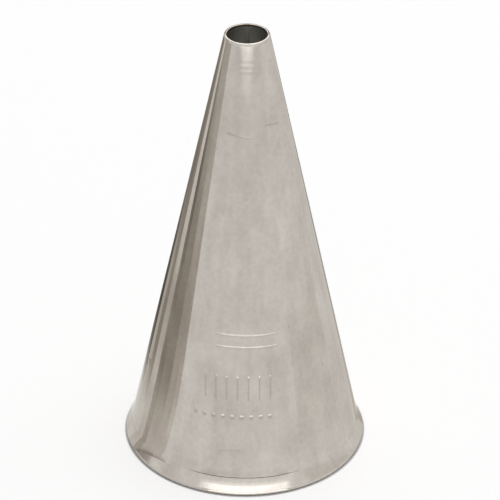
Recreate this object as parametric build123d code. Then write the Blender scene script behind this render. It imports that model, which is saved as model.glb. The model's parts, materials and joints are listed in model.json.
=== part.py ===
from build123d import *
import os
from math import acos, asin, atan2, cos, degrees, hypot, pi, sin, tan

# A plain round piping nozzle of bright stainless sheet, standing tip up on its rim.
# One sheet is rolled to a cone and fusion welded along the back. Its lower edge is folded
# outward and pressed up against the cone as a hem, whose cut edge is burnished thin so that it
# blends into the cone, and the hole in the tip is reamed.
# Millimetres, +Z up the axis. The origin is the centre of the rim's foot, on the resting plane.
# The plain front faces -Y and the weld runs up the back, at +Y.

# Driving dimensions
height = 47.6
rim_diameter = 25.4
orifice_diameter = 4.1
sheet = 0.3

# The reamed stretch of the hole, below the lip, and the edges that reaming leaves
land_length = 0.3
lip_outer_round = 0.1
lip_inner_round = 0.04

# The hem: its height, the gap behind its sheet at the fold and at the cut edge, and how deep
# the fold is pressed flat under the foot and burnished at the widest edge
hem_height = 1.85
hem_fold_gap = 0.08
hem_edge_gap = 0.03
foot_flat_depth = 0.04
edge_flat_depth = 0.03

# The burnished round of the hem's cut edge: how far down the face it starts, how far the face
# stands off the cone there, and what it leaves of the sheet's thickness at the cut edge
hem_round_height = 0.4
hem_round_stand = 0.19
hem_edge_thickness = 0.06

# The weld: its width, how far its bead stands proud of the inside, and the strip of weld that
# lies flush on each side of the bead
weld_width = 0.6
bead_crown = 0.08
bead_margin = 0.05

# Sizes worked out from these
rim_radius = rim_diameter / 2
orifice_radius = orifice_diameter / 2
bend_radius = hem_fold_gap / 2
fold_radius = sheet + bend_radius
fold_r = rim_radius + edge_flat_depth - fold_radius
fold_z = fold_radius - foot_flat_depth
land_z = height - land_length

# The inner wall is a straight line from the foot of the land, tangent to the fold. So the
# cone's half angle is that of the line to the fold's centre, less what the fold's radius takes.
reach = hypot(fold_r - orifice_radius, land_z - fold_z)
half_angle = atan2(fold_r - orifice_radius, land_z - fold_z) - asin(fold_radius / reach)
out_r, out_z = cos(half_angle), sin(half_angle)
up_r, up_z = -sin(half_angle), cos(half_angle)


def by_fold(outward, along=0):
    """A point of the section: this far outward from the fold's centre, then up the wall."""
    return (
        fold_r + outward * out_r + along * up_r,
        fold_z + outward * out_z + along * up_z,
    )


def around_fold(radius, angle):
    """A point of the section on a circle around the fold's centre, by its angle from level."""
    return (fold_r + radius * cos(angle), fold_z + radius * sin(angle))


def face_angle(radius, outward, along):
    """The angle at which a face from this point by the fold touches a circle around it.

    It is the angle of the face's outward normal, which is the cone's half angle for a face
    that is parallel to the wall and more for one that leans in.
    """
    return half_angle + atan2(along, outward) - acos(radius / hypot(outward, along))


# The hem's edge and the start of its round, each as a place outward and up the wall
hem_along = (hem_height - fold_z) / up_z
edge_inner = (hem_edge_gap - bend_radius, hem_along)
edge_outer = (edge_inner[0] + hem_edge_thickness, hem_along)
round_start = (hem_round_stand - bend_radius, hem_along - hem_round_height)
face_outer = face_angle(fold_radius, *round_start)
face_inner = face_angle(bend_radius, *edge_inner)

# The outer wall meets the fold's inner bend here, and the tip's top here
outer_foot = by_fold(-bend_radius)
tip_radius = outer_foot[0] - (height - outer_foot[1]) * tan(half_angle)


def under_fold(radius, face):
    """The arc under the fold's centre, from the inner wall's side to the hem's face."""
    start, middle = half_angle + pi, half_angle + 3 * pi / 2
    return ThreePointArc(*(around_fold(radius, angle) for angle in (start, middle, face)))


def sheet_section():
    """The sheet's section, with radius to the right and height up."""
    lip_outer = (tip_radius, height)
    lip_inner = (orifice_radius, height)
    land_foot = (orifice_radius, land_z)
    leaning = (-sin(face_outer), cos(face_outer))
    section = make_face(
        [
            Line(lip_outer, lip_inner),
            Line(lip_inner, land_foot),
            Line(land_foot, by_fold(-fold_radius)),
            under_fold(fold_radius, face_outer),
            Line(around_fold(fold_radius, face_outer), by_fold(*round_start)),
            TangentArc(by_fold(*round_start), by_fold(*edge_outer), tangent=leaning),
            Line(by_fold(*edge_outer), by_fold(*edge_inner)),
            Line(by_fold(*edge_inner), around_fold(bend_radius, face_inner)),
            under_fold(bend_radius, face_inner),
            Line(outer_foot, lip_outer),
        ]
    )
    for corner, radius in ((lip_outer, lip_outer_round), (lip_inner, lip_inner_round)):
        nearest = section.vertices().sort_by_distance((*corner, 0))[0]
        section = fillet(nearest, radius)
    # The foot is pressed flat and the widest edge is burnished
    return section & Rectangle(rim_radius, height, align=(Align.MIN, Align.MIN))


def hollow_section():
    """The section of the space inside the cone, from the fold up to the land."""
    wall_foot = by_fold(-fold_radius)
    corners = (0, wall_foot[1]), wall_foot, (orifice_radius, land_z), (0, land_z)
    return make_face(Polyline(*corners, close=True))


def turned(section):
    """A section turned once around the nozzle's axis."""
    return revolve(Plane.XZ * section, Axis.Z, 360)


def weld_slot():
    """The straight gap up the back between the sheet's two edges, which the weld fills."""
    return Box(weld_width, rim_diameter, height, align=(Align.CENTER, Align.MIN, Align.MIN))


def inner_bead():
    """The weld's bead inside the cone: the crown of a round rod laid along the inner wall.

    It starts with a rounded end level with the hem's edge, because pressing the hem flattened
    it below, and the reamer trims it at the top.
    """
    half_width = weld_width / 2 - bead_margin
    rod_radius = (half_width**2 + bead_crown**2) / (2 * bead_crown)
    foot_r, foot_z = by_fold(rod_radius - bead_crown - fold_radius, hem_along)
    along_wall = Plane(origin=(0, foot_r, foot_z), x_dir=(1, 0, 0), z_dir=(0, up_r, up_z))
    upright = (Align.CENTER, Align.CENTER, Align.MIN)
    rod = along_wall * (Cylinder(rod_radius, reach, align=upright) + Sphere(rod_radius))
    reamer = Cylinder(orifice_radius, height, align=upright)
    return (rod & turned(hollow_section())) - reamer


body = turned(sheet_section())
parts = {
    "cone_shell": body - weld_slot(),
    "seam_weld": (body & weld_slot()) + inner_bead(),
}

os.makedirs("parts", exist_ok=True)
for node, shape in parts.items():
    export_step(shape, f"parts/{node}.step")
    print(node, "volume", round(shape.volume, 3), "mm3")
print("half angle", round(degrees(half_angle), 3), "tip outside", round(2 * tip_radius, 3))
print("hem face", round(degrees(face_outer), 2), "degrees above level")
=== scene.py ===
"""The looks of a plain round piping nozzle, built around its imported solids.

The nozzle is one piece of bright stainless sheet, rolled to a cone, welded up the back and
folded over at the rim. It stands tip up. Metres, +Z up the axis, front towards -Y.
"""

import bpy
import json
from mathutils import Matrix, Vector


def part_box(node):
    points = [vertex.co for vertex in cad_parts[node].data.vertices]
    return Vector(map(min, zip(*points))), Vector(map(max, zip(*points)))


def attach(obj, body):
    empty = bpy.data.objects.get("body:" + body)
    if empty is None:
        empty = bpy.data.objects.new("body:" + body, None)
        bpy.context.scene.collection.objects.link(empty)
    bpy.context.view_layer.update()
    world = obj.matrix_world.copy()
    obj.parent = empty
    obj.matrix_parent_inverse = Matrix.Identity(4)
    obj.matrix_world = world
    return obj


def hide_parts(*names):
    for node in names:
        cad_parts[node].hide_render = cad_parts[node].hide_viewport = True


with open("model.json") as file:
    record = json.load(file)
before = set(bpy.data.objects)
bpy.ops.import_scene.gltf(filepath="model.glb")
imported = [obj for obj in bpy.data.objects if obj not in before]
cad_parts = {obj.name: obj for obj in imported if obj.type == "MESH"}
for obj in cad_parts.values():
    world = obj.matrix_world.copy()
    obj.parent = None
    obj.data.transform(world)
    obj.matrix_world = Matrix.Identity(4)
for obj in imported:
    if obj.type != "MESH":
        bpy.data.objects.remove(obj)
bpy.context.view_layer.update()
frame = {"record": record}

import json
from math import acos, asin, atan2, cos, hypot, pi, radians, sin, tan
from typing import NamedTuple

import bpy
from mathutils import Matrix, Vector

MM = 0.001

# The nozzle's own sizes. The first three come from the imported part, and the rest repeat the
# sheet, the reamed tip, the folded rim and the weld as they were built.
far_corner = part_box("cone_shell")[1]
height = far_corner.z
rim_radius = far_corner.x
mounts = {mount["name"]: mount for mount in frame["record"]["mounts"]}
orifice_radius = mounts["orifice"]["dims"]["r_mm"] * MM
sheet = 0.3 * MM
land_length = 0.3 * MM
lip_outer_round = 0.1 * MM
lip_inner_round = 0.04 * MM
hem_height = 1.85 * MM
hem_fold_gap = 0.08 * MM
hem_edge_gap = 0.03 * MM
foot_flat_depth = 0.04 * MM
edge_flat_depth = 0.03 * MM
hem_edge_thickness = 0.06 * MM
weld_width = 0.6 * MM
bead_crown = 0.08 * MM
bead_margin = 0.05 * MM

# The burnished round of the hem's cut edge starts this far down the face, where the face stands
# this far off the wall. It is longer and softer than in the solids, by up to 0.01 mm.
hem_round_height = 0.9 * MM
hem_round_stand = 0.272 * MM

# Worked out from these, as in the solids
bend_radius = hem_fold_gap / 2
fold_radius = sheet + bend_radius
fold_r = rim_radius + edge_flat_depth - fold_radius
fold_z = fold_radius - foot_flat_depth
land_z = height - land_length
reach = hypot(fold_r - orifice_radius, land_z - fold_z)
half_angle = atan2(fold_r - orifice_radius, land_z - fold_z) - asin(fold_radius / reach)
hem_along = (hem_height - fold_z) / cos(half_angle)


def by_fold(outward, along=0.0):
    """A point of the section: this far outward from the fold's centre, then up the wall."""
    return (
        fold_r + outward * cos(half_angle) - along * sin(half_angle),
        fold_z + outward * sin(half_angle) + along * cos(half_angle),
    )


def around_fold(radius, angle):
    """A point of the section on a circle around the fold's centre, by its angle from level."""
    return (fold_r + radius * cos(angle), fold_z + radius * sin(angle))


def face_angle(radius, outward, along):
    """The angle at which a face from this point by the fold touches a circle around it."""
    return half_angle + atan2(along, outward) - acos(radius / hypot(outward, along))


edge_inner = (hem_edge_gap - bend_radius, hem_along)
edge_outer = (edge_inner[0] + hem_edge_thickness, hem_along)
round_start = (hem_round_stand - bend_radius, hem_along - hem_round_height)
face_outer = face_angle(fold_radius, *round_start)
face_inner = face_angle(bend_radius, *edge_inner)
outer_foot = by_fold(-bend_radius)
tip_radius = outer_foot[0] - (height - outer_foot[1]) * tan(half_angle)


# The camera, as it stood for the photograph: aimed at a point by the axis from this far off
CAMERA_PITCH = radians(31.70)
CAMERA_ROLL = radians(0.404)
CAMERA_LENS = 222.6
CAMERA_SENSOR = 36.0
AIM = Vector((0.44, 0.0, 22.30)) * MM
AIM_DISTANCE = 320.9 * MM
CLIP_START, CLIP_END = 0.01, 20.0


def make_camera():
    """The photograph's viewpoint: a long lens, looking down at the front of the nozzle."""
    data = bpy.data.cameras.new("camera")
    data.lens = CAMERA_LENS
    data.sensor_width = CAMERA_SENSOR
    data.clip_start, data.clip_end = CLIP_START, CLIP_END
    camera = bpy.data.objects.new("camera", data)
    forward = Vector((0.0, cos(CAMERA_PITCH), -sin(CAMERA_PITCH)))
    turn = forward.to_track_quat("-Z", "Y").to_matrix() @ Matrix.Rotation(CAMERA_ROLL, 3, "Z")
    camera.matrix_world = Matrix.Translation(AIM - forward * AIM_DISTANCE) @ turn.to_4x4()
    bpy.context.scene.collection.objects.link(camera)
    bpy.context.scene.camera = camera


make_camera()


# Colours and nodes

# Kinds of node that come often. The last one reads a value that a guide carries.
MATH = "ShaderNodeMath"
VECTOR = "ShaderNodeVectorMath"
RANGE = "ShaderNodeMapRange"
CARRIED = "GeometryNodeInputNamedAttribute"


def colour(hex_code):
    """An sRGB hex value as linear light, with full alpha."""
    shares = [int(hex_code[i : i + 2], 16) / 255 for i in (1, 3, 5)]
    linear = [c / 12.92 if c <= 0.04045 else ((c + 0.055) / 1.055) ** 2.4 for c in shares]
    return (*linear, 1.0)


def add(tree, kind, feeds=(), take=0, **settings):
    """Adds a node with its settings, feeds it in order or by name, and returns an output."""
    node = tree.nodes.new(kind)
    for name, value in settings.items():
        setattr(node, name, value)
    for key, value in feeds.items() if isinstance(feeds, dict) else enumerate(feeds):
        if isinstance(value, bpy.types.NodeSocket):
            tree.links.new(value, node.inputs[key])
        else:
            node.inputs[key].default_value = value
    return node.outputs[take] if node.outputs else node


def set_stops(ramp, stops):
    """Gives a colour ramp its stops, each a position and a colour."""
    while len(ramp.elements) < len(stops):
        ramp.elements.new(0.5)
    for element, (position, shade) in zip(ramp.elements, stops):
        element.position, element.color = position, shade


def new_material(name):
    """An empty node material, and its tree."""
    material = bpy.data.materials.new(name)
    material.use_nodes = True
    material.node_tree.nodes.clear()
    return material, material.node_tree


# The sheet's patterns: how large their blotches, streaks and flecks are, and how far apart
# its specks
BLOTCH_SIZE = 4.0 * MM
STREAK_SIZE = 1.3 * MM
FLECK_SIZE = 0.5 * MM
SPECK_SPACING = 1.1 * MM
# Streaks and specks run up the wall: their width beside their height
STREAK_SLIMNESS, SPECK_SLIMNESS = 0.06, 0.45
# Where a speck ends and where it is darkest, as distances beside the spacing, how dark that
# is, and the share of the specks that show
SPECK_END, SPECK_CORE = 0.09, 0.03
SPECK_DARKNESS, SPECK_SHARE = 0.7, 0.35
# How far from the middle of the weld the sheet is tinted, from full to not at all, and how
# strong the full tint is
HEAT_FROM, HEAT_TO = 0.3 * MM, 1.4 * MM
HEAT_TINT = 0.45


def bright_stainless_sheet():
    """Bright annealed stainless steel sheet: a warm grey mirror, slightly hazed by tumbling.

    Blotches and faint streaks up the wall give the shine its worn look, and the bottoms of the
    pressed strokes hold a little dark polishing dirt. A band just above the hem's crease is
    darkened as painted shade. Inside, the sheet is plainer and duller, and beside the weld it has
    a faint straw tint from the heat.
    """
    material, tree = new_material("bright_stainless_sheet")
    place = add(tree, "ShaderNodeTexCoord", take="Object")
    feeds = {"Vector": place, "Scale": (1.0, 1.0, STREAK_SLIMNESS)}
    along = add(tree, "ShaderNodeMapping", feeds)
    patterns = []
    for where, size, detail in (
        (place, BLOTCH_SIZE, 4.0), (along, STREAK_SIZE, 2.0), (place, FLECK_SIZE, 2.0)
    ):
        feeds = {"Vector": where, "Scale": 1 / size, "Detail": detail}
        patterns.append(add(tree, "ShaderNodeTexNoise", feeds))
    blotch, streak, fleck = patterns
    tone = 0.0
    for pattern, share in ((blotch, 0.45), (streak, 0.35), (fleck, 0.2)):
        tone = add(tree, MATH, (pattern, share, tone), operation="MULTIPLY_ADD")
    shade = add(tree, "ShaderNodeValToRGB", (tone,))
    set_stops(shade.node.color_ramp, ((0.36, colour("#B6AFA8")), (0.64, colour("#C8C3BB"))))

    # Pits and rubbed-in dirt: short specks, longer up the wall, thinned out by chance
    feeds = {"Vector": place, "Scale": (1.0, 1.0, SPECK_SLIMNESS)}
    feeds = {"Vector": add(tree, "ShaderNodeMapping", feeds), "Scale": 1 / SPECK_SPACING}
    cell = add(tree, "ShaderNodeTexVoronoi", feeds).node.outputs
    feeds = {"Value": cell["Distance"], "From Min": SPECK_END, "From Max": SPECK_CORE}
    feeds["To Max"] = SPECK_DARKNESS
    near = add(tree, RANGE, feeds)
    chance = add(tree, "ShaderNodeSeparateColor", (cell["Color"],))
    few = add(tree, MATH, (chance, SPECK_SHARE), operation="LESS_THAN")
    speck = add(tree, MATH, (near, few), operation="MULTIPLY")
    # The strokes' darkening: polishing dirt in the pressed strokes, and painted shade above the hem
    pressed = add(tree, "ShaderNodeAttribute", take="Fac", attribute_name="stained")
    stained = add(tree, MATH, (pressed, speck), operation="MAXIMUM")

    spot = add(tree, "ShaderNodeSeparateXYZ", (place,)).node.outputs
    aside = add(tree, MATH, (spot["X"],), operation="ABSOLUTE")
    feeds = {"Value": aside, "From Min": HEAT_FROM, "From Max": HEAT_TO}
    feeds |= {"To Min": HEAT_TINT, "To Max": 0.0}
    heat = add(tree, RANGE, feeds)
    behind = add(tree, MATH, (spot["Y"], 0.0), operation="GREATER_THAN")
    heated = add(tree, MATH, (heat, behind), operation="MULTIPLY")

    inside = add(tree, "ShaderNodeAttribute", take="Fac", attribute_name="inner")
    # The first colour darkens the specks, the strokes' polishing dirt and the painted shade above the
    # hem
    for share, code in ((stained, "#96918A"), (heated, "#B4A48C"), (inside, "#C6C5C0")):
        feeds = {"Factor": share, "A": shade, "B": colour(code)}
        shade = add(tree, "ShaderNodeMix", feeds, take=2, data_type="RGBA")
    rough = 0.03
    for pattern, share in ((blotch, 0.08), (stained, 0.2), (inside, 0.28)):
        rough = add(tree, MATH, (pattern, share, rough), operation="MULTIPLY_ADD")
    feeds = {"Base Color": shade, "Metallic": 1.0, "Roughness": rough}
    feeds["Specular Tint"] = colour("#E6E4E1")
    shader = add(tree, "ShaderNodeBsdfPrincipled", feeds)
    add(tree, "ShaderNodeOutputMaterial", {"Surface": shader})
    return material


# The weld's patterns: how far apart the grinding lines are, their width beside their length,
# how deep they show, and how large the blotches of its tint are
GRIND_SPACING = 0.09 * MM
GRIND_SLIMNESS = 0.04
GRIND_DEPTH = 0.01 * MM
TINT_SIZE = 1.6 * MM


def ground_stainless_weld():
    """Fusion weld in stainless steel: ground flush outside, with a straw tint from its heat.

    Fine grinding lines run up the seam, and the bead inside is duller and greyer.
    """
    material, tree = new_material("ground_stainless_weld")
    place = add(tree, "ShaderNodeTexCoord", take="Object")
    feeds = {"Vector": place, "Scale": (1.0, 1.0, GRIND_SLIMNESS)}
    along = add(tree, "ShaderNodeMapping", feeds)
    feeds = {"Vector": along, "Scale": 1 / GRIND_SPACING, "Detail": 3.0}
    lines = add(tree, "ShaderNodeTexNoise", feeds)
    feeds = {"Vector": place, "Scale": 1 / TINT_SIZE, "Detail": 3.0}
    shade = add(tree, "ShaderNodeTexNoise", feeds)
    inside = add(tree, "ShaderNodeAttribute", take="Fac", attribute_name="inner")
    feeds = {"Factor": shade, "A": colour("#A39A8C"), "B": colour("#BAB2A6")}
    shade = add(tree, "ShaderNodeMix", feeds, take=2, data_type="RGBA")
    for share, code in ((lines, "#8F877B"), (inside, "#C6C5C0")):
        feeds = {"Factor": share, "A": shade, "B": colour(code)}
        shade = add(tree, "ShaderNodeMix", feeds, take=2, data_type="RGBA")
    feeds = {"Strength": 0.35, "Distance": GRIND_DEPTH, "Height": lines}
    bump = add(tree, "ShaderNodeBump", feeds)
    rough = 0.16
    for pattern, share in ((lines, 0.18), (inside, 0.2)):
        rough = add(tree, MATH, (pattern, share, rough), operation="MULTIPLY_ADD")
    feeds = {"Base Color": shade, "Metallic": 1.0, "Roughness": rough, "Normal": bump}
    feeds["Specular Tint"] = colour("#F4F2EF")
    shader = add(tree, "ShaderNodeBsdfPrincipled", feeds)
    add(tree, "ShaderNodeOutputMaterial", {"Surface": shader})
    return material


SHEET_STEEL = bright_stainless_sheet()
WELD_STEEL = ground_stainless_weld()


# The sheet's section, as a closed line around it


def line(start, end, steps):
    """Points from start up to, but not at, end."""
    shares = [i / steps for i in range(steps)]
    return [tuple(a + (b - a) * s for a, b in zip(start, end)) for s in shares]


def around(centre, radius, start, end, steps):
    """Points around a centre from the start angle up to, but not at, the end angle."""
    angles = [start + (end - start) * i / steps for i in range(steps)]
    return [(centre[0] + radius * cos(a), centre[1] + radius * sin(a)) for a in angles]


def tangent_arc(start, end, heading, steps):
    """Points from start up to end on the arc that leaves start in the given direction."""
    chord = Vector(end) - Vector(start)
    side = Vector((-heading[1], heading[0]))
    radius = chord.length_squared / (2 * chord.dot(side))
    centre = Vector(start) + side * radius
    first = atan2(start[1] - centre.y, start[0] - centre.x)
    last = atan2(end[1] - centre.y, end[0] - centre.x)
    turn = (last - first + pi) % (2 * pi) - pi
    return around(centre, abs(radius), first, first + turn, steps)


def spread(start, end, spacing):
    """Numbers from start up to, but not at, end, about this far apart."""
    steps = max(1, round((end - start) / spacing))
    return [start + (end - start) * i / steps for i in range(steps)]


def rows_up(start, end, stretches):
    """Points up a wall, with each stretch given as its upper level and its spacing."""
    levels, level = [], start[1]
    for upper, spacing in stretches:
        levels += spread(level, upper, spacing)
        level = upper
    slope = (end[0] - start[0]) / (end[1] - start[1])
    return [(start[0] + (z - start[1]) * slope, z) for z in levels]


# Stretches of the outer wall, in millimetres: how far up each goes, and how far apart its rows
# are. They are closest where the sheet is stamped, and next to the lip.
STRETCHES = (
    (2.6, 0.35), (5.2, 0.13), (7.9, 0.6), (9, 0.08), (10, 0.25), (13.2, 0.1), (15.5, 0.5),
    (17.8, 0.08), (37.7, 0.5), (39.4, 0.11), (44, 0.5),
)
WALL_TOP = (tip_radius + lip_outer_round * tan(half_angle), height - lip_outer_round)
RING_ROW, LIP_ROW = 0.15 * MM, 0.02 * MM
OUTER_ROWS = [(upper * MM, spacing * MM) for upper, spacing in STRETCHES]
OUTER_ROWS += [(WALL_TOP[1] - LIP_ROW, RING_ROW), (WALL_TOP[1], LIP_ROW)]
INNER_ROWS = 34

# Over this length the wall's waves die out towards the hem and the lip, and this share of them
# reaches the hem's face
EASE = 1.2 * MM
FACE_SHARE = 0.5

# Where the hem is pressed shut, its face rounds the fold up to this angle from the wall's, then
# curves down, as this power of what is left, to this far off the wall. Its back keeps this share
# of the face's distance.
SHUT_TURN = radians(18.9)
SHUT_POWER = 1.4
SHUT_EDGE = 0.006 * MM
SHUT_BACK_SHARE = 0.35


def shut_by(point, back):
    """How far towards the wall a point of the hem's face or back moves where it is shut."""
    out, up = point[0] - fold_r, point[1] - fold_z
    off = out * cos(half_angle) + up * sin(half_angle) + bend_radius
    along = max(up * cos(half_angle) - out * sin(half_angle), 0.0)
    start = fold_radius * sin(SHUT_TURN)
    if along > start:
        left = max(1 - (along - start) / (hem_along - start), 0.0)
        first = bend_radius + fold_radius * cos(SHUT_TURN)
        shut = SHUT_EDGE + (first - SHUT_EDGE) * left**SHUT_POWER
    else:
        shut = bend_radius + (fold_radius**2 - along**2) ** 0.5
    if back:
        shut = min(off, SHUT_BACK_SHARE * shut)
    return off - shut


# How many steps the parts of the section take: the land, the fold, the hem's face, its round and
# its back, the inside of the fold, and the lip's outer round, flat and inner round
LAND_STEPS, FOLD_STEPS, FACE_STEPS, ROUND_STEPS, BACK_STEPS = 3, 24, 8, 10, 6
BEND_STEPS, LIP_STEPS, FLAT_STEPS, BORE_STEPS = 8, 6, 2, 4


def sheet_section(inner_rows, outer_rows):
    """The closed section, anticlockwise from the top of the bore.

    Each point is its radius and level, how much of the wall's waves it takes, 1 on the inner
    wall, and how far pressing the hem shut moves it.
    """
    bore = (orifice_radius, height - lip_inner_round)
    land_foot = (orifice_radius, land_z)
    lip = (tip_radius - lip_outer_round, height - lip_outer_round)
    bore_round = (orifice_radius + lip_inner_round, height - lip_inner_round)
    fold = (fold_r, fold_z)
    leaning = (-sin(face_outer), cos(face_outer))
    bend_start, bend_end = face_inner + 2 * pi, half_angle + pi
    face = line(around_fold(fold_radius, face_outer), by_fold(*round_start), FACE_STEPS)
    face += tangent_arc(by_fold(*round_start), by_fold(*edge_outer), leaning, ROUND_STEPS)
    back = line(by_fold(*edge_inner), around_fold(bend_radius, face_inner), BACK_STEPS)
    # Each side's points, and the part that it belongs to
    sides = (
        (line(bore, land_foot, LAND_STEPS), "land"),
        (line(land_foot, by_fold(-fold_radius), inner_rows), "inner"),
        (around(fold, fold_radius, bend_end, face_outer + 2 * pi, FOLD_STEPS), "fold"),
        (face, "face"),
        (line(by_fold(*edge_outer), by_fold(*edge_inner), 1), "edge"),
        (back, "back"),
        (around(fold, bend_radius, bend_start, bend_end, BEND_STEPS), "bend"),
        (rows_up(outer_foot, WALL_TOP, outer_rows), "wall"),
        (around(lip, lip_outer_round, 0, pi / 2, LIP_STEPS), "lip"),
        (line((lip[0], height), (bore_round[0], height), FLAT_STEPS), "lip"),
        (around(bore_round, lip_inner_round, pi / 2, pi, BORE_STEPS), "lip"),
    )
    section = []
    for points, part in sides:
        inner = float(part == "inner")
        for r, z in points:
            ease = min(max(z - hem_height, 0.0), WALL_TOP[1] - z, EASE) / EASE
            wavy = {"wall": ease, "face": FACE_SHARE}.get(part, 0.0)
            press = shut_by((r, z), part == "back") if part in ("face", "edge", "back") else 0.0
            # The foot is pressed flat and the widest edge is burnished
            section.append((min(r, rim_radius), max(z, 0.0), wavy, inner, press))
    return section


# Around the cone, as turns from the front: the stamped stretch has the closest columns
STAMPED_FROM, STAMPED_TO = radians(-30), radians(23)
STAMPED_COLUMN = radians(0.42)
PLAIN_COLUMN = radians(2.2)


def cone_columns():
    """The turns of the cone's columns, from one side of the weld around to the other."""
    turns = spread(-pi, STAMPED_FROM, PLAIN_COLUMN)
    turns += spread(STAMPED_FROM, STAMPED_TO, STAMPED_COLUMN)
    return [*turns, *spread(STAMPED_TO, pi, PLAIN_COLUMN), pi]


# Guides and node trees


def guide(name, values, closed=False):
    """A line of points that carries values for each point into a node tree."""
    count = len(next(iter(values.values())))
    edges = [(i, (i + 1) % count) for i in range(count if closed else count - 1)]
    # The points only have to be in order, so a closed guide is a ring and an open one a post
    ring = [(cos(2 * pi * i / count), sin(2 * pi * i / count), 0.0) for i in range(count)]
    mesh = bpy.data.meshes.new(name)
    mesh.from_pydata(ring if closed else [(0.0, 0.0, i / count) for i in range(count)], edges, [])
    for key, numbers in values.items():
        mesh.attributes.new(key, "FLOAT", "POINT").data.foreach_set("value", numbers)
    made = bpy.data.objects.new(name, mesh)
    bpy.context.scene.collection.objects.link(made)
    made.hide_render = True
    return made


def section_guide(name, section):
    """The sheet's section as a closed guide."""
    keys = ("axis_distance", "level", "wavy", "inner", "press")
    return guide(name, dict(zip(keys, map(list, zip(*section)))), closed=True)


def new_tree(name, inputs, outputs=None):
    """A geometry node tree with these named inputs and outputs, and its inputs' sockets."""
    tree = bpy.data.node_groups.new(name, "GeometryNodeTree")
    for side, labels in (("OUTPUT", outputs or {"Geometry": "Geometry"}), ("INPUT", inputs)):
        for label, kind in labels.items():
            tree.interface.new_socket(label, in_out=side, socket_type="NodeSocket" + kind)
    return tree, add(tree, "NodeGroupInput").node.outputs


def swept(tree, given):
    """The Section guide swept along the Path guide, closed at both ends."""
    curves = []
    for key in ("Path", "Section"):
        points = add(tree, "GeometryNodeObjectInfo", (given[key],), take="Geometry")
        curves.append(add(tree, "GeometryNodeMeshToCurve", (points,)))
    feeds = {"Curve": curves[0], "Profile Curve": curves[1], "Fill Caps": True}
    return add(tree, "GeometryNodeCurveToMesh", feeds)


# Faces that meet at more than this are a corner, and others are smooth
CORNER = radians(40)


def finish_tree(tree, geometry, given):
    """Ends a tree: sharp edges where faces meet at a corner, smooth ones elsewhere."""
    bend = add(tree, "GeometryNodeInputMeshEdgeAngle")
    soft = add(tree, MATH, (bend, CORNER), operation="LESS_THAN")
    feeds = {"Geometry": geometry, "Shade Smooth": True}
    feeds["Geometry"] = add(tree, "GeometryNodeSetShadeSmooth", feeds)
    feeds["Shade Smooth"] = soft
    smooth = add(tree, "GeometryNodeSetShadeSmooth", feeds, domain="EDGE")
    real = add(tree, "GeometryNodeRealizeInstances", (smooth,))
    feeds = {"Geometry": real, "Material": given["Material"]}
    dressed = add(tree, "GeometryNodeSetMaterial", feeds)
    add(tree, "NodeGroupOutput", {"Geometry": dressed})


def grown(name, tree, guides, values):
    """A plain mesh object, grown by a node tree from its guides and its other inputs."""
    piece = bpy.data.objects.new(name, bpy.data.meshes.new(name))
    bpy.context.scene.collection.objects.link(piece)
    modifier = piece.modifiers.new(name, "NODES")
    modifier.node_group = tree
    settings = {**guides, **values}
    for item in tree.interface.items_tree:
        if item.in_out == "INPUT":
            modifier[item.identifier] = settings[item.name]
    graph = bpy.context.evaluated_depsgraph_get()
    mesh = bpy.data.meshes.new_from_object(piece.evaluated_get(graph), depsgraph=graph)
    piece.modifiers.clear()
    piece.data = mesh
    for made in guides.values():
        bpy.data.objects.remove(made)
    return piece


# What is pressed into the wall, and a band of painted shade above the hem


class Strokes(NamedTuple):
    """A row of straight strokes, with its sizes in millimetres.

    The middle is a place across from the front and up from the rim's foot, and the length goes
    across and up. The slope is a stroke's rise over its run, and how much a stroke darkens the
    sheet goes from 0 to 1: dark polishing dirt in the pressed strokes, and painted shade in the
    band above the hem.
    """

    middle: tuple
    length: tuple
    width: float
    depth: float = 0.0
    residue_and_shade: float = 0.0
    slope: float = 0.0
    count: int = 1
    spacing: float = 1.0


# The stamped ones are plain lines, ticks and dots low on the front. shade_above_hem is no
# stroke in the metal but a band of painted shade just above the hem's crease. The others are
# what drawing and handling left.
STROKE_ROWS = {
    "stamped_upper_line": Strokes((0.15, 17.3), (6.4, 0.0), 0.28, 0.03, 0.5),
    "stamped_lower_line": Strokes((0.15, 16.0), (6.4, 0.0), 0.28, 0.03, 0.5),
    "stamped_ticks": Strokes((-0.75, 11.6), (0.0, 2.4), 0.34, 0.04, 0.5, count=7, spacing=1.15),
    "stamped_dots": Strokes((-1.3, 8.45), (0.2, 0.2), 0.4, 0.03, 0.5, count=9),
    "low_scuff": Strokes((-1.6, 4.8), (1.9, 0.0), 0.4, 0.008, 0.3, slope=0.08),
    "rim_scuffs": Strokes((0.6, 3.1), (0.3, 0.0), 0.35, 0.012, 0.2, slope=0.25, count=4, spacing=1.05),
    # Painted shade: a darker band on the wall just above the hem's crease, with no depth
    "shade_above_hem": Strokes((0.0, 2.05), (9.0, 0.0), 0.75, residue_and_shade=0.45),
    "draw_ring_upper": Strokes((0.15, 45.95), (2.6, 0.0), 0.55, 0.0012),
    "draw_ring_middle": Strokes((0.0, 45.35), (2.9, 0.0), 0.5, 0.0014),
    "draw_ring_lower": Strokes((0.2, 44.8), (3.1, 0.0), 0.45, 0.0012),
    "left_crease": Strokes((-0.75, 38.2), (2.5, 0.0), 0.3, 0.004, 0.7, slope=-0.13),
    "right_crease": Strokes((2.9, 39.05), (1.7, 0.0), 0.3, 0.008, 0.5, slope=-0.15),
    "left_nick": Strokes((-14.2, 9.7), (0.2, 0.3), 1.3, 0.03),
    "right_nick": Strokes((11.9, 18.3), (0.0, 1.0), 0.9, 0.02),
}
# The metal that a stroke pushes aside stands this share of its depth proud along it, and ends
# this many half widths from its middle line
SHOULDER_SHARE = 0.3
SHOULDER_REACH = 2.0


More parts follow.
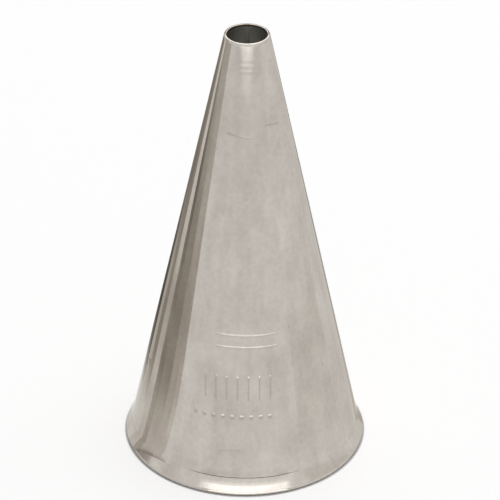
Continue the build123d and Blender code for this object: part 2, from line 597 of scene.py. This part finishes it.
def stroke_group():
    """How deep a place lies in a row of strokes, and its darkening by dirt and painted shade, 0 to 1.
    """
    inputs = {"Place": "Vector", "Middle": "Vector", "Half Length": "Vector"}
    sizes = ("Slope", "Last", "Spacing", "Half Width", "Depth", "Residue And Shade")
    inputs |= {key: "Float" for key in sizes}
    tree, given = new_tree("pressed_strokes", inputs, {"Dirt And Shade": "Float", "Sunk": "Float"})

    # The nearest of the row's strokes, counted from the middle one
    aside = add(tree, VECTOR, (given["Place"], given["Middle"]), operation="SUBTRACT")
    off = add(tree, "ShaderNodeSeparateXYZ", (aside,)).node.outputs
    nearest = add(tree, MATH, (off["X"], given["Spacing"]), operation="DIVIDE")
    nearest = add(tree, MATH, (nearest,), operation="ROUND")
    first = add(tree, MATH, (given["Last"], -1.0), operation="MULTIPLY")
    feeds = {"Value": nearest, "Min": first, "Max": given["Last"]}
    nearest = add(tree, "ShaderNodeClamp", feeds)
    shift = add(tree, MATH, (nearest, given["Spacing"]), operation="MULTIPLY")
    rise = add(tree, MATH, (off["X"], given["Slope"]), operation="MULTIPLY")
    shift = add(tree, "ShaderNodeCombineXYZ", (shift, rise, off["Z"]))

    # How far the place is from that stroke's middle line
    away = add(tree, VECTOR, (aside, shift), operation="SUBTRACT")
    away = add(tree, VECTOR, (away,), operation="ABSOLUTE")
    away = add(tree, VECTOR, (away, given["Half Length"]), operation="SUBTRACT")
    away = add(tree, VECTOR, (away, (0.0, 0.0, 0.0)), operation="MAXIMUM")
    away = add(tree, VECTOR, (away,), take="Value", operation="LENGTH")

    feeds = {"Value": away, "From Min": given["Half Width"], "From Max": 0.0}
    pressed = add(tree, RANGE, feeds, interpolation_type="SMOOTHSTEP")
    wide = (given["Half Width"], SHOULDER_REACH)
    feeds["From Min"] = add(tree, MATH, wide, operation="MULTIPLY")
    feeds["To Max"] = SHOULDER_SHARE
    proud = add(tree, RANGE, feeds, interpolation_type="SMOOTHSTEP")
    deep = add(tree, MATH, (pressed, 1 + SHOULDER_SHARE), operation="MULTIPLY")
    deep = add(tree, MATH, (deep, proud), operation="SUBTRACT")
    feeds = {
        "Dirt And Shade": add(tree, MATH, (pressed, given["Residue And Shade"]), operation="MULTIPLY"),
        "Sunk": add(tree, MATH, (deep, given["Depth"]), operation="MULTIPLY"),
    }
    add(tree, "NodeGroupOutput", feeds)
    return tree


def add_strokes(tree, across, level):
    """Each place's darkening by dirt and painted shade, and how far it is sunk, from all strokes."""
    group = stroke_group()
    place = add(tree, "ShaderNodeCombineXYZ", (across, level))
    stained = sunk = 0.0
    for row in STROKE_ROWS.values():
        feeds = {
            "Place": place,
            "Middle": (row.middle[0] * MM, row.middle[1] * MM, 0.0),
            "Half Length": (row.length[0] * MM / 2, row.length[1] * MM / 2, 0.0),
            "Slope": row.slope,
            "Last": (row.count - 1) / 2,
            "Spacing": row.spacing * MM,
            "Half Width": row.width * MM / 2,
            "Depth": row.depth * MM,
            "Residue And Shade": row.residue_and_shade,
        }
        found = add(tree, "GeometryNodeGroup", feeds, node_tree=group).node.outputs
        stained = add(tree, MATH, (stained, found["Dirt And Shade"]), operation="MAXIMUM")
        sunk = add(tree, MATH, (sunk, found["Sunk"]), operation="ADD")
    return stained, sunk


# The cone

# The hem is open up to this turn from the front and from the back, and shut beyond the second
HEM_OPEN, HEM_SHUT = radians(19), radians(31)
# Flutes are this many times as long up the wall as they are wide
FLUTE_STRETCH = 10
WAVE_SEED = 3
# The middle of what a noise gives, which leaves the wall where it is
STILL = 0.5


def sheet_tree():
    """The rolled, stamped and folded sheet: its section swept around, then pressed by hand."""
    inputs = {"Section": "Object", "Path": "Object", "Material": "Material", "Seed": "Float"}
    sizes = (
        "Rim Radius", "Wall Angle", "Slot Half Width", "Hem Open", "Hem Shut", "Wave Height",
        "Wave Length", "Flute Height", "Flute Width",
    )
    tree, given = new_tree("rolled_sheet", {**inputs, **{key: "Float" for key in sizes}})
    names = ("turn", "axis_distance", "level", "wavy", "press")
    carried = [add(tree, CARRIED, {"Name": name}, data_type="FLOAT") for name in names]
    turn, radius, level, wavy, press = carried

    # The slot's sides are parallel, so the columns beside it lean more where the cone is slim
    lean = add(tree, MATH, (given["Slot Half Width"], radius), operation="DIVIDE")
    lean = add(tree, MATH, (lean,), operation="ARCSINE")
    kept = add(tree, MATH, (lean, -1 / pi, 1.0), operation="MULTIPLY_ADD")
    angle = add(tree, MATH, (turn, kept), operation="MULTIPLY")
    right = add(tree, MATH, (angle,), operation="SINE")
    ahead = add(tree, MATH, (angle,), operation="COSINE")
    back = add(tree, MATH, (ahead, -1.0), operation="MULTIPLY")
    outward = add(tree, "ShaderNodeCombineXYZ", (right, back))
    upward = add(tree, "ShaderNodeCombineXYZ", {"Z": level})
    spot = add(tree, VECTOR, (outward, radius, upward), operation="MULTIPLY_ADD")
    feeds = {"Geometry": swept(tree, given), "Position": spot}
    rolled = add(tree, "GeometryNodeSetPosition", feeds)

    # The strokes are placed by how far around the front and how far up the wall they are
    across = add(tree, MATH, (turn, radius), operation="MULTIPLY")
    stained, sunk = add_strokes(tree, across, level)
    # Their darkening, dirt and painted shade above the hem, is kept where the wall's waves reach
    walled = add(tree, MATH, (wavy, 0.0), operation="GREATER_THAN")
    stained = add(tree, MATH, (stained, walled), operation="MULTIPLY")
    feeds = {"Geometry": rolled, "Name": "stained", "Value": stained}
    marked = add(tree, "GeometryNodeStoreNamedAttribute", feeds, data_type="FLOAT")

    # Rolling leaves the wall a little wavy, with faint flutes that run up it
    aside = add(tree, MATH, (turn,), operation="SINE")
    front = add(tree, MATH, (turn,), operation="COSINE")
    tall = add(tree, MATH, (given["Rim Radius"], FLUTE_STRETCH), operation="MULTIPLY")
    rise = add(tree, MATH, (level, tall), operation="DIVIDE")
    fluted = add(tree, "ShaderNodeCombineXYZ", (aside, front, rise))
    fine = add(tree, MATH, (given["Rim Radius"], given["Flute Width"]), operation="DIVIDE")
    coarse = add(tree, MATH, (1.0, given["Wave Length"]), operation="DIVIDE")
    lift = add(tree, MATH, (sunk, -1.0), operation="MULTIPLY")
    for place, scale, size in ((spot, coarse, "Wave Height"), (fluted, fine, "Flute Height")):
        feeds = {"Vector": place, "W": given["Seed"], "Scale": scale, "Detail": 1.0}
        wave = add(tree, "ShaderNodeTexNoise", feeds, noise_dimensions="4D")
        wave = add(tree, MATH, (wave, STILL), operation="SUBTRACT")
        lift = add(tree, MATH, (wave, given[size], lift), operation="MULTIPLY_ADD")
    lift = add(tree, MATH, (lift, wavy), operation="MULTIPLY")
    feeds = {"Vector": add(tree, "GeometryNodeInputNormal"), "Scale": lift}
    feeds = {"Geometry": marked, "Offset": add(tree, VECTOR, feeds, operation="SCALE")}
    waved = add(tree, "GeometryNodeSetPosition", feeds)

    # The hem stands open along the front and the back, and is pressed shut at the sides. The
    # cosine of twice the turn is the same at the front and the back.
    feeds = {"Value": turn, "From Min": given["Hem Open"], "From Max": given["Hem Shut"]}
    for key, angle in feeds.items():
        twice = add(tree, MATH, (angle, 2.0), operation="MULTIPLY")
        feeds[key] = add(tree, MATH, (twice,), operation="COSINE")
    shut = add(tree, RANGE, feeds, interpolation_type="SMOOTHSTEP")
    inward = add(tree, MATH, (shut, press), operation="MULTIPLY")
    inward = add(tree, MATH, (inward, -1.0), operation="MULTIPLY")
    level_share = add(tree, MATH, (given["Wall Angle"],), operation="COSINE")
    upward_share = add(tree, MATH, (given["Wall Angle"],), operation="SINE")
    upward = add(tree, "ShaderNodeCombineXYZ", {"Z": upward_share})
    squarely = add(tree, VECTOR, (outward, level_share, upward), operation="MULTIPLY_ADD")
    feeds = {"Vector": squarely, "Scale": inward}
    feeds = {"Geometry": waved, "Offset": add(tree, VECTOR, feeds, operation="SCALE")}
    finish_tree(tree, add(tree, "GeometryNodeSetPosition", feeds), given)
    return tree


def make_cone():
    """The cone with its hem and lip, open at the back for the weld."""
    guides = {
        "Section": section_guide("sheet_section", sheet_section(INNER_ROWS, OUTER_ROWS)),
        "Path": guide("sheet_columns", {"turn": cone_columns()}),
    }
    values = {
        "Material": SHEET_STEEL,
        "Seed": float(WAVE_SEED),
        "Rim Radius": rim_radius,
        "Wall Angle": half_angle,
        "Slot Half Width": weld_width / 2,
        "Hem Open": HEM_OPEN,
        "Hem Shut": HEM_SHUT,
        "Wave Height": 0.03 * MM,
        "Wave Length": 9 * MM,
        "Flute Height": 0.012 * MM,
        "Flute Width": 2.5 * MM,
    }
    cone = grown("rolled_sheet_cone", sheet_tree(), guides, values)
    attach(cone, "root")
    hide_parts("cone_shell")


make_cone()


# The weld up the back: flush and ground outside, a rippled bead inside

BEAD_HALF_WIDTH = weld_width / 2 - bead_margin
BEAD_COLUMNS = 10
# How far apart the rows are on the bead and outside
BEAD_ROW, WELD_ROW = 0.09 * MM, 0.4 * MM
# The ripples trail behind the arc, by this share of their length at the bead's sides
LAG_SHARE = 0.7


def weld_tree():
    """The weld: the sheet's section carried across the slot, with a bead on its inner side."""
    inputs = {"Section": "Object", "Path": "Object", "Material": "Material"}
    sizes = (
        "Bead Half Width", "Bead Crown", "Bead Start", "Ripple Length", "Ripple Height", "Hole Radius"
    )
    tree, given = new_tree("weld", {**inputs, **{key: "Float" for key in sizes}})
    names = ("across", "axis_distance", "level", "inner")
    carried = [add(tree, CARRIED, {"Name": name}, data_type="FLOAT") for name in names]
    across, radius, level, inner = carried

    # The crown is a parabola across the bead
    share = add(tree, MATH, (across, given["Bead Half Width"]), operation="DIVIDE")
    share = add(tree, MATH, (share, share), operation="MULTIPLY")
    share = add(tree, MATH, (share, 1.0), operation="MINIMUM")
    crown = add(tree, MATH, (1.0, share), operation="SUBTRACT")
    lag = add(tree, MATH, (given["Ripple Length"], LAG_SHARE), operation="MULTIPLY")
    trail = add(tree, MATH, (share, lag, level), operation="MULTIPLY_ADD")
    phase = add(tree, MATH, (trail, given["Ripple Length"]), operation="DIVIDE")
    phase = add(tree, MATH, (phase, 2 * pi), operation="MULTIPLY")
    ripple = add(tree, MATH, (phase,), operation="SINE")
    feeds = (ripple, given["Ripple Height"], given["Bead Crown"])
    rise = add(tree, MATH, feeds, operation="MULTIPLY_ADD")
    rise = add(tree, MATH, (rise, crown), operation="MULTIPLY")

    # The bead grows from its start, lies on the inner wall only, and is trimmed at the hole
    full = add(tree, MATH, (given["Bead Start"], given["Bead Half Width"]), operation="ADD")
    feeds = {"Value": level, "From Min": given["Bead Start"], "From Max": full}
    begun = add(tree, RANGE, feeds, interpolation_type="SMOOTHSTEP")
    for share in (begun, inner):
        rise = add(tree, MATH, (rise, share), operation="MULTIPLY")
    away = add(tree, MATH, (radius, rise), operation="SUBTRACT")
    away = add(tree, MATH, (away, given["Hole Radius"]), operation="MAXIMUM")
    # The bead lies straight across the slot: its distance from the axis gives its depth
    square = add(tree, MATH, (away, away), operation="MULTIPLY")
    aside = add(tree, MATH, (across, across), operation="MULTIPLY")
    depth = add(tree, MATH, (square, aside), operation="SUBTRACT")
    depth = add(tree, MATH, (depth,), operation="SQRT")
    spot = add(tree, "ShaderNodeCombineXYZ", (across, depth, level))
    feeds = {"Geometry": swept(tree, given), "Position": spot}
    finish_tree(tree, add(tree, "GeometryNodeSetPosition", feeds), given)
    return tree


def make_weld():
    """The weld, as wide as the slot between the sheet's edges."""
    rows = round((height - hem_height) / BEAD_ROW)
    crown = [BEAD_HALF_WIDTH * (2 * i / BEAD_COLUMNS - 1) for i in range(BEAD_COLUMNS + 1)]
    columns = [-weld_width / 2, *crown, weld_width / 2]
    section = sheet_section(rows, ((WALL_TOP[1], WELD_ROW),))
    guides = {
        "Section": section_guide("weld_section", section),
        "Path": guide("weld_columns", {"across": columns}),
    }
    values = {
        "Material": WELD_STEEL,
        "Bead Half Width": BEAD_HALF_WIDTH,
        "Bead Crown": bead_crown,
        "Bead Start": hem_height,
        "Ripple Length": 0.42 * MM,
        "Ripple Height": 0.012 * MM,
        "Hole Radius": orifice_radius,
    }
    weld = grown("rippled_seam_weld", weld_tree(), guides, values)
    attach(weld, "root")
    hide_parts("seam_weld")


make_weld()


# The studio: a white floor in a white room, a softbox overhead, strips of light in front, and
# grey cards on the floor, at the sides and behind the tip. Only the metal mirrors the strips
# and the cards.

# The side of the square floor, in metres
FLOOR_SIZE = 4.0
# How much white is the floor's own, beyond the rim and under the nozzle, where it is a painted glow
# that the bore mirrors
FLOOR_LIFT = 0.42
HOLLOW_LIFT = 0.35
# The floor has no white of its own this far beyond the rim's edge and this far inside it, which paints
# a contact shadow around the rim's foot
CONTACT_OUT, CONTACT_IN = 0.16 * MM, 0.96 * MM
# How much light the room's walls give, beside the white that they show
ROOM_LEVEL = 0.42
# The softbox: its middle and its size in metres, and how bright its face is beside white paper
SOFTBOX_PLACE = Vector((0.1, 0.15, 0.9))
SOFTBOX_WIDTH, SOFTBOX_DEPTH = 0.9, 0.7
SOFTBOX_LEVEL = 1.5


def sees_white(tree):
    """One for what the camera sees straight, in metal or through glass, and nought for light."""
    path = add(tree, "ShaderNodeLightPath").node.outputs
    seen = path["Is Camera Ray"]
    for other in ("Is Glossy Ray", "Is Transmission Ray"):
        seen = add(tree, MATH, (seen, path[other]), operation="MAXIMUM")
    return seen


def stage_sheet(name, corners, material, seen=False):
    """A flat sheet of the stage. One that isn't seen shows only as a reflection in the metal."""
    mesh = bpy.data.meshes.new(name)
    mesh.from_pydata(corners, [], [range(len(corners))])
    mesh.materials.append(material)
    made = bpy.data.objects.new(name, mesh)
    bpy.context.scene.collection.objects.link(made)
    if not seen:
        made.visible_camera = made.visible_shadow = made.visible_diffuse = False


def make_floor():
    """White paper: part of its white is its own, so that the nozzle's shadow stays light.

    It has none in a ring beside the rim's foot, a painted contact shadow that keeps the line
    under the rim dark, and less under the nozzle, a painted glow that the bore mirrors, which
    keeps the hole dark.
    """
    material, tree = new_material("white_paper")
    place = add(tree, "ShaderNodeTexCoord", take="Object")
    off_axis = add(tree, VECTOR, (place,), take="Value", operation="LENGTH")
    own = 0.0
    # The ring between the two edges is painted contact shadow, and the lift inside it is painted glow
    edges = (
        (rim_radius + CONTACT_OUT, "GREATER_THAN", FLOOR_LIFT),
        (rim_radius - CONTACT_IN, "LESS_THAN", HOLLOW_LIFT),
    )
    for edge, side, lift in edges:
        there = add(tree, MATH, (off_axis, edge), operation=side)
        own = add(tree, MATH, (there, lift, own), operation="MULTIPLY_ADD")
    own = add(tree, MATH, (own, sees_white(tree)), operation="MULTIPLY")
    glow = add(tree, "ShaderNodeEmission", (colour("#FFFFFF"), own))
    paper = add(tree, "ShaderNodeBsdfDiffuse", (colour("#E8E8E8"),))
    both = add(tree, "ShaderNodeAddShader", (paper, glow))
    add(tree, "ShaderNodeOutputMaterial", {"Surface": both})
    half = FLOOR_SIZE / 2
    corners = [(-half, -half, 0), (half, -half, 0), (half, half, 0), (-half, half, 0)]
    stage_sheet("floor", corners, material, seen=True)


def make_room():
    """The room's white walls, which the camera and the metal see at full white."""
    world = bpy.data.worlds.new("white_room")
    bpy.context.scene.world = world
    world.use_nodes = True
    tree = world.node_tree
    tree.nodes.clear()
    feeds = (sees_white(tree), 1.0 - ROOM_LEVEL, ROOM_LEVEL)
    strength = add(tree, MATH, feeds, operation="MULTIPLY_ADD")
    room = add(tree, "ShaderNodeBackground", (colour("#FFFFFF"), strength))
    add(tree, "ShaderNodeOutputWorld", {"Surface": room})


def make_softbox():
    """A flat lamp overhead, turned to the foot of the nozzle."""
    data = bpy.data.lights.new("overhead_softbox", "AREA")
    data.shape = "RECTANGLE"
    data.size, data.size_y = SOFTBOX_WIDTH, SOFTBOX_DEPTH
    data.energy = SOFTBOX_LEVEL * SOFTBOX_WIDTH * SOFTBOX_DEPTH * pi
    lamp = bpy.data.objects.new("overhead_softbox", data)
    towards = (-SOFTBOX_PLACE).to_track_quat("-Z", "Y")
    lamp.matrix_world = Matrix.Translation(SOFTBOX_PLACE) @ towards.to_matrix().to_4x4()
    lamp.visible_camera = False
    bpy.context.scene.collection.objects.link(lamp)


def even(level):
    """A grey of this much linear light, with full alpha."""
    return (level, level, level, 1.0)


def graded(tree, value, ends, stops):
    """Shades along a value from one end to the other, by stops of a value and its shade."""
    first, last = ends
    feeds = {"Value": value, "From Min": first, "From Max": last}
    ramp = add(tree, "ShaderNodeValToRGB", (add(tree, RANGE, feeds),))
    stops = [((stop - first) / (last - first), shade) for stop, shade in stops]
    set_stops(ramp.node.color_ramp, stops)
    return ramp


def finish_glow(tree, shade, level=1.0):
    """Ends a material that glows, so many times as bright as white paper."""
    glow = add(tree, "ShaderNodeEmission", (shade, level))
    add(tree, "ShaderNodeOutputMaterial", {"Surface": glow})


# Grey cards on the floor, from beside the rim outward. Each lies between the two lines that the
# camera sees mirrored straight up the wall at its turns, to the left below zero. Then come its
# greys, each with its distance from the axis in millimetres.
CARDS = {
    "band_edge": (
        (-44.5, -41.5),
        ((13, "#E9E6E1"), (32, "#EAE7E2"), (60, "#C3BEB7"), (110, "#C6C1BA"), (180, "#D8D5D0")),
    ),
    "band_inner": (
        (-50, -44.5),
        ((13, "#F1EFEB"), (34, "#D6D1CA"), (60, "#C0BBB4"), (85, "#C0BBB4"), (110, "#D0CCC6")),
    ),
    "band": (
        (-58.5, -50),
        (
            (13, "#F1EFEB"), (24, "#DEDAD4"), (34, "#BEB9B1"), (42, "#B1ACA4"), (60, "#ABA59C"),
            (110, "#B1ABA3"), (180, "#D0CDC7"),
        ),
    ),
    "band_line": (
        (-63.5, -58.5),
        (
            (13, "#CCC7BF"), (20, "#D2CEC7"), (27, "#CBC7C0"), (32, "#B6B1A9"), (38, "#A39D95"),
            (53, "#B2ADA5"), (60, "#A39D95"), (110, "#878179"), (180, "#C3BFB8"),
        ),
    ),
    "light_gap": (
        (-70.5, -63.5),
        (
            (13, "#EFECE7"), (19, "#F6F4F1"), (33, "#F0EDE9"), (47, "#D9D5CF"), (57, "#D9D5CF"),
            (66, "#E9E6E2"), (75, "#F3F1EE"), (100, "#FBFAF9"), (125, "#FFFFFF"),
        ),
    ),
    "outer_band": (
        (-76.5, -70.5),
        ((19, "#FFFFFF"), (26, "#CFCBC4"), (33, "#ABA69E"), (50, "#AFAAA1")),
    ),
    "outer_stripe": (
        (-82.5, -76.5),
        (
            (18, "#FFFFFF"), (22, "#E9E6E1"), (37, "#DAD6D0"), (52, "#D2CEC8"), (62, "#B8B3AB"),
            (74, "#9D978E"), (180, "#A09A92"),
        ),
    ),
    "left_edge": (
        (-98, -82.5),
        (
            (18, "#FFFFFF"), (21, "#C4C0BA"), (25, "#908C86"), (30, "#716D67"), (37, "#615D58"),
            (52, "#7C7770"), (62, "#9D978E"), (180, "#A09A92"),
        ),
    ),
    "right_shade": (
        (31, 62),
        ((13, "#FFFFFF"), (26, "#FBFAF9"), (40, "#F6F4F2"), (70, "#F6F4F2"), (120, "#FFFFFF")),
    ),
    "right_edge": ((86.5, 98), ((13, "#E1DDD6"), (26, "#CFC9C1"), (50, "#B2ACA4"))),
}
CARD_START, CARD_END = 13 * MM, 400 * MM
CARD_STEP = radians(2)
CARD_RISE = Vector((0.0, 0.0, 0.02)) * MM
# Short of this distance the left cards turn away from those lines, by this much beside the rim
# for the one that starts nearest to the front and by nothing for the last
CARD_BEND = 48 * MM
CARD_LEAN = radians(13)
LEFT_FIRST, LEFT_LAST = radians(-41.5), radians(-98)


def facing(turn):
    """The level direction away from the axis at this turn from the front."""
    return Vector((sin(turn), -cos(turn), 0.0))


def mirrored(turn):
    """The line on the floor that the camera sees mirrored straight up the wall at this turn.

    It starts beside the rim, and for each higher level of the wall, which stands farther in,
    the view meets the floor farther out.
    """
    outward = facing(turn)
    normal = cos(half_angle) * outward + Vector((0.0, 0.0, sin(half_angle)))
    view = Vector((0.0, -cos(CAMERA_PITCH), sin(CAMERA_PITCH)))
    onward = 2 * normal.dot(view) * normal - view
    level, onward.z = -onward.z, 0.0
    return (onward - level * tan(half_angle) * outward).normalized()


def card_side(turn):
    """Three points of a card's side: beside the rim, where it bends, and at its far end."""
    lean = CARD_LEAN * (turn - LEFT_LAST) / (LEFT_FIRST - LEFT_LAST) if turn < 0 else 0.0
    start, onward = facing(turn) * CARD_START, mirrored(turn)
    bend, end = (start + onward * (away - CARD_START) for away in (CARD_BEND, CARD_END))
    return facing(turn - lean) * CARD_START, bend, end


def make_card(name, turns, greys):
    """A grey card on the floor that shades from distance to distance."""
    material, tree = new_material("card_" + name)
    place = add(tree, "ShaderNodeTexCoord", take="Object")
    away = add(tree, VECTOR, (place,), take="Value", operation="LENGTH")
    stops = [(distance * MM, colour(code)) for distance, code in greys]
    finish_glow(tree, graded(tree, away, (0.0, CARD_END), stops))
    first, last = map(radians, turns)
    near, bend, far = zip(*map(card_side, [*spread(first, last, CARD_STEP), last]))
    corners = [corner + CARD_RISE for corner in (*near[::-1], bend[0], *far, bend[-1])]
    stage_sheet(name, corners, material)


# A lit patch of floor in front of the rim, which only the hem's fold mirrors: its turns, and its
# distances from the axis
FOOT_LIGHT_TURNS = radians(-18), radians(22)
FOOT_LIGHT_AWAY = 13.1 * MM, 19.5 * MM
FOOT_LIGHT_LEVEL = 2.2


def make_foot_light():
    """The lit patch that whitens the bottom of the hem."""
    turns = [*spread(*FOOT_LIGHT_TURNS, CARD_STEP), FOOT_LIGHT_TURNS[1]]
    near, far = ([facing(turn) * away for turn in turns] for away in FOOT_LIGHT_AWAY)
    corners = [corner + CARD_RISE for corner in near[::-1] + far]
    material, tree = new_material("lit_foot")
    finish_glow(tree, colour("#FFFFFF"), FOOT_LIGHT_LEVEL)
    stage_sheet("foot_light", corners, material)


# Strips of light in front: how much brighter than plain white they are at each angle up from the
# floor, as a share, and their levels by turn from the front. The first shows in the hem, and the
# second in the front of the tip.
STRIP_AWAY = 500 * MM
STRIPS = {
    "hem_strip": (
        ((2.1, 1.0), (7.0, 1.0), (7.6, 0.35), (9.6, 0.3), (10.6, 0.08), (15.0, 0.0)),
        ((-50, 1.0), (-42, 1.3), (-37, 1.35), (-26, 2.2), (14, 2.3), (37, 1.8), (54, 1.0)),
    ),
    "tip_strip": (
        ((0.2, 0.0), (2.1, 1.0)),
        ((-48, 1.0), (-24, 1.4), (28, 1.4), (54, 1.0)),
    ),
}


def make_strip(name, shares, levels):
    """A bright strip in front that only the metal mirrors."""
    material, tree = new_material("lit_" + name)
    most = max(level for turn, level in levels)
    across = [(STRIP_AWAY * tan(radians(turn)), even(level / most)) for turn, level in levels]
    upward = [(STRIP_AWAY * tan(radians(angle)), even(share)) for angle, share in shares]
    left, right, bottom, top = across[0][0], across[-1][0], upward[0][0], upward[-1][0]
    place = add(tree, "ShaderNodeTexCoord", take="Object")
    spot = add(tree, "ShaderNodeSeparateXYZ", (place,)).node.outputs
    grey = graded(tree, spot["X"], (left, right), across)
    rise = graded(tree, spot["Z"], (bottom, top), upward)
    feeds = {"Factor": rise, "A": even(1 / most), "B": grey}
    finish_glow(tree, add(tree, "ShaderNodeMix", feeds, take=2, data_type="RGBA"), most)
    y = -STRIP_AWAY
    corners = [(right, y, bottom), (left, y, bottom), (left, y, top), (right, y, top)]
    stage_sheet(name, corners, material)


# Upright grey cards at the sides, which only the hem's face mirrors: how far to the right they
# stand, and their greys with how far back each is, in millimetres
SIDE_CARDS = {
    "left_screen": (
        -400,
        (
            (-240, "#FFFFFF"), (-115, "#F0EEEB"), (-50, "#FFFFFF"), (5, "#FFFFFF"),
            (48, "#CBC7C1"), (100, "#C0BBB5"), (146, "#BBB6AF"), (200, "#C6C2BC"), (320, "#F4F2EF"),
        ),
    ),
    "right_screen": (
        400,
        ((-330, "#FFFFFF"), (-200, "#F0EEEB"), (60, "#F0EEEB"), (420, "#FFFFFF")),
    ),
}
SIDE_CARD_TOP = 130 * MM


def make_side_card(name, across, greys):
    """An upright card that shades from front to back."""
    material, tree = new_material("card_" + name)
    place = add(tree, "ShaderNodeTexCoord", take="Object")
    spot = add(tree, "ShaderNodeSeparateXYZ", (place,)).node.outputs
    stops = [(y * MM, colour(code)) for y, code in greys]
    front, back = stops[0][0], stops[-1][0]
    finish_glow(tree, graded(tree, spot["Y"], (front, back), stops))
    x, low, top = across * MM, CARD_RISE.z, SIDE_CARD_TOP
    corners = [(x, front, low), (x, back, low), (x, back, top), (x, front, top)]
    stage_sheet(name, corners, material)


# Small cards behind the tip that the flat of the lip mirrors: the bright one shows on its front
# and the grey one on its back. Each has its lower and upper edges in millimetres, how bright it
# is beside white paper, and its colour.
LIP_CARDS = {"bright_lip": (63.9, 76.0, 2.6, "#FFFFFF"), "grey_lip": (54.0, 62.9, 1.0, "#6B6660")}
LIP_CARD_AWAY = 30 * MM
LIP_CARD_HALF_WIDTH = 12 * MM


def make_lip_card(name, bottom, top, level, code):
    """A small card behind the tip, from one height to another."""
    material, tree = new_material("card_" + name)
    finish_glow(tree, colour(code), level)
    half, y = LIP_CARD_HALF_WIDTH, LIP_CARD_AWAY
    corners = [(-half, y, bottom), (half, y, bottom), (half, y, top), (-half, y, top)]
    stage_sheet(name + "_card", corners, material)


make_floor()
make_room()
make_softbox()
make_foot_light()
for name, (turns, greys) in CARDS.items():
    make_card(name, turns, greys)
for name, (shares, levels) in STRIPS.items():
    make_strip(name, shares, levels)
for name, (across, greys) in SIDE_CARDS.items():
    make_side_card(name, across, greys)
for name, (bottom, top, level, code) in LIP_CARDS.items():
    make_lip_card(name, bottom * MM, top * MM, level, code)

bpy.context.scene.view_settings.view_transform = "Standard"
